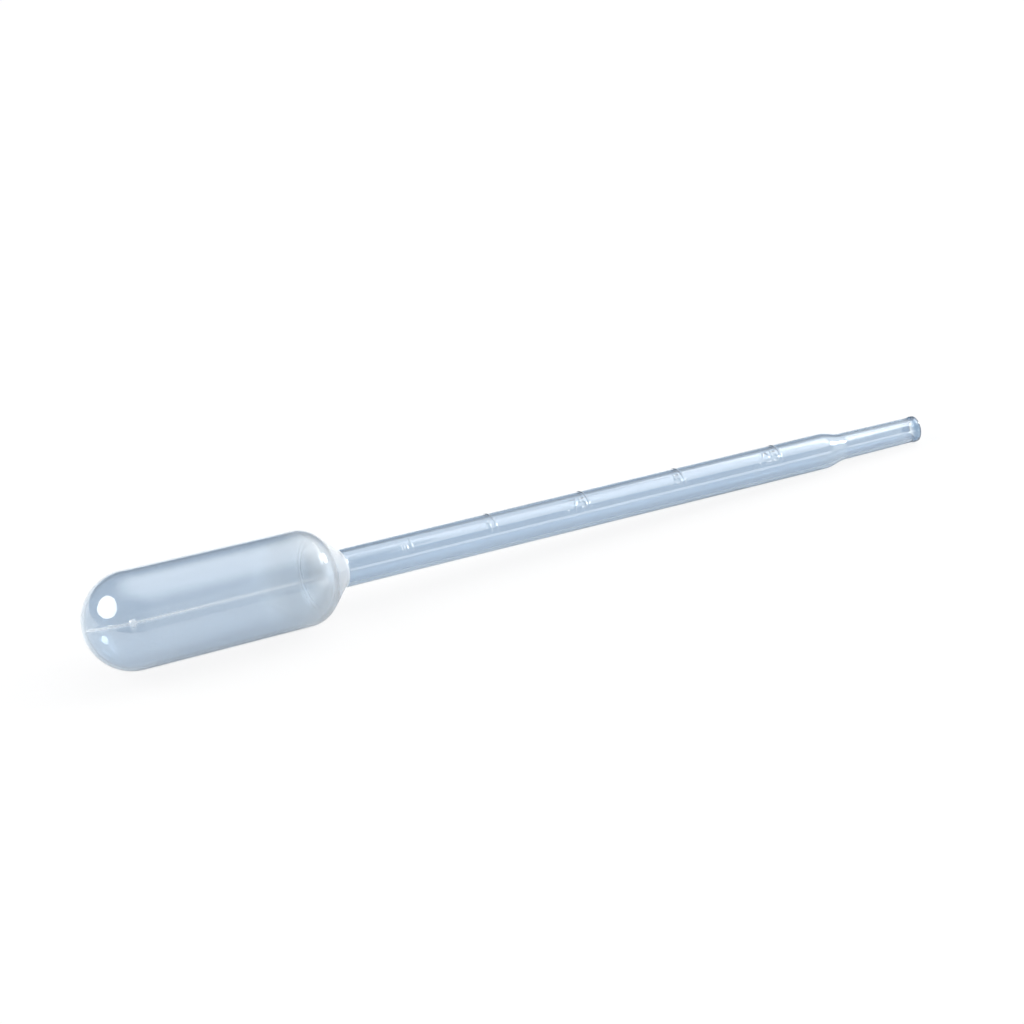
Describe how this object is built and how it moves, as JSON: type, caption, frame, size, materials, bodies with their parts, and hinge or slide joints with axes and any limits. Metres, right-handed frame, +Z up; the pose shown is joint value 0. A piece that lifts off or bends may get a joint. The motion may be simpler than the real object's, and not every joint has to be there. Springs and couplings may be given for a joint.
{
  "type": "plastic dropper pipette",
  "caption": "One-piece soft plastic dropper pipette with a squeeze bulb, a shoulder cone, a thin graduated stem and a drawn-down open tip, lying at rest.",
  "frame": {"origin": "under the middle of the object's box, on the surface that it lies on", "axes": "+X along the pipette from the bulb to the open tip, +Z up; the axis dips towards the tip by about 2.7 degrees, and the parting line lies 27 degrees above the horizontal on the -Y side"},
  "size_m": [0.145, 0.0148, 0.0159],
  "materials": {
    "polyethylene": "translucent natural low-density polyethylene, smooth moulded skin, faint blue cast"
  },
  "bodies": {
    "root": {"pipette": "polyethylene"}
  },
  "joints": []
}
